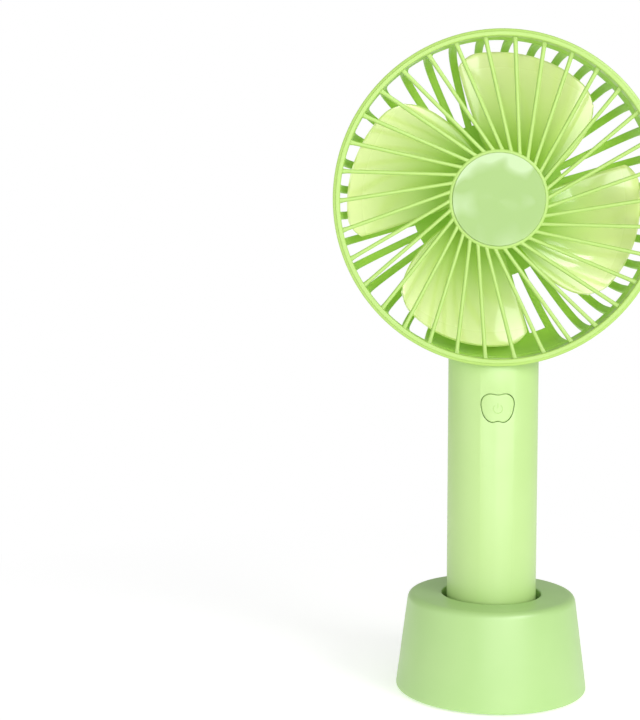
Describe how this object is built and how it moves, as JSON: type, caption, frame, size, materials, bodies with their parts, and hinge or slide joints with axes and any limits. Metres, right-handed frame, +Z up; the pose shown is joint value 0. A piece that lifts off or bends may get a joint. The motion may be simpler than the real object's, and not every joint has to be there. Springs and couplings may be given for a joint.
{
  "type": "handheld electric fan with desk stand",
  "caption": "Round-headed battery fan with a swept front grille, petal blades and a plain round handle, standing in a conical socket stand.",
  "frame": {"origin": "centre of the stand's underside, on the handle's axis", "axes": "+Z up along the handle, the fan blows towards -Y, +X is to the right as seen from the front"},
  "size_m": [0.105, 0.0628, 0.2135],
  "materials": {
    "lime_stand": "satin moulded plastic, light lime green",
    "foam": "matt non-slip foam",
    "lime_shell": "satin moulded plastic, light lime green",
    "lime_button": "satin moulded plastic, light lime green",
    "lime_cage": "satin moulded plastic, lime green",
    "lime_blade": "glossy translucent plastic, yellowish lime",
    "clear_film": "clear glossy film",
    "steel": "bright nickel-plated steel",
    "brass": "bright brass",
    "copper": "enamelled copper",
    "dark_iron": "dark sintered metal",
    "black_plastic": "black moulded plastic",
    "white_plastic": "white moulded plastic",
    "board": "green solder mask",
    "red_wire": "red insulation",
    "black_wire": "black insulation",
    "cell_wrap": "blue shrink wrap over a steel can",
    "lens": "clear moulded plastic"
  },
  "bodies": {
    "stand": {"stand_shell": "lime_stand", "stand_base_plate": "lime_stand", "stand_foot_ring": "foam"},
    "pad": {"socket_pad": "foam"},
    "fan": {"handle_front_shell": "lime_shell", "handle_back_shell": "lime_shell", "handle_screw_left": "steel", "handle_screw_right": "steel", "switch_body": "black_plastic", "control_board": "board", "usb_socket": "steel", "charge_chip": "black_plastic", "charge_led": "lens", "charge_lens": "lens", "battery_cell": "cell_wrap", "battery_terminal": "steel", "top_contact": "brass", "positive_lead": "red_wire", "negative_strip": "brass", "rear_cage": "lime_cage", "front_grille": "lime_shell", "hub_film": "clear_film", "motor_can": "steel", "motor_end_cap": "white_plastic", "motor_bushing_front": "brass", "motor_bushing_rear": "brass", "motor_magnet_left": "dark_iron", "motor_magnet_right": "dark_iron", "motor_terminal_left": "brass", "motor_terminal_right": "brass", "motor_screw_left": "steel", "motor_screw_right": "steel", "motor_brush_left": "copper", "motor_brush_right": "copper", "motor_cover": "lime_shell", "motor_wire_black": "black_wire", "motor_wire_red": "red_wire"},
    "rotor": {"impeller": "lime_blade", "motor_shaft": "steel", "rotor_core": "dark_iron", "rotor_coil_1": "copper", "rotor_coil_2": "copper", "rotor_coil_3": "copper", "commutator": "copper"},
    "button": {"power_button": "lime_button", "switch_plunger": "white_plastic"},
    "cap": {"battery_cap": "lime_shell", "bottom_contact": "brass", "battery_spring": "steel"}
  },
  "joints": [
    {"name": "swivel", "type": "hinge", "parent": "stand", "child": "pad", "pos_m": [0, 0, 0.0073], "axis": [0, 0, 1], "continuous": true},
    {"name": "lift_out", "type": "slide", "parent": "pad", "child": "fan", "axis": [0, 0, 1], "range_m": [0, 0.04]},
    {"name": "fan_spin", "type": "hinge", "parent": "fan", "child": "rotor", "pos_m": [0, 0, 0.161], "axis": [0, -1, 0], "continuous": true},
    {"name": "button_press", "type": "slide", "parent": "fan", "child": "button", "axis": [0, 1, 0], "range_m": [0, 0.0005], "stiffness_N_per_m": 2000, "springref_m": -0.0004},
    {"name": "cap_twist", "type": "hinge", "parent": "fan", "child": "cap", "pos_m": [0, 0, 0.0087], "axis": [0, 0, -1], "range_deg": [0, 40]}
  ]
}
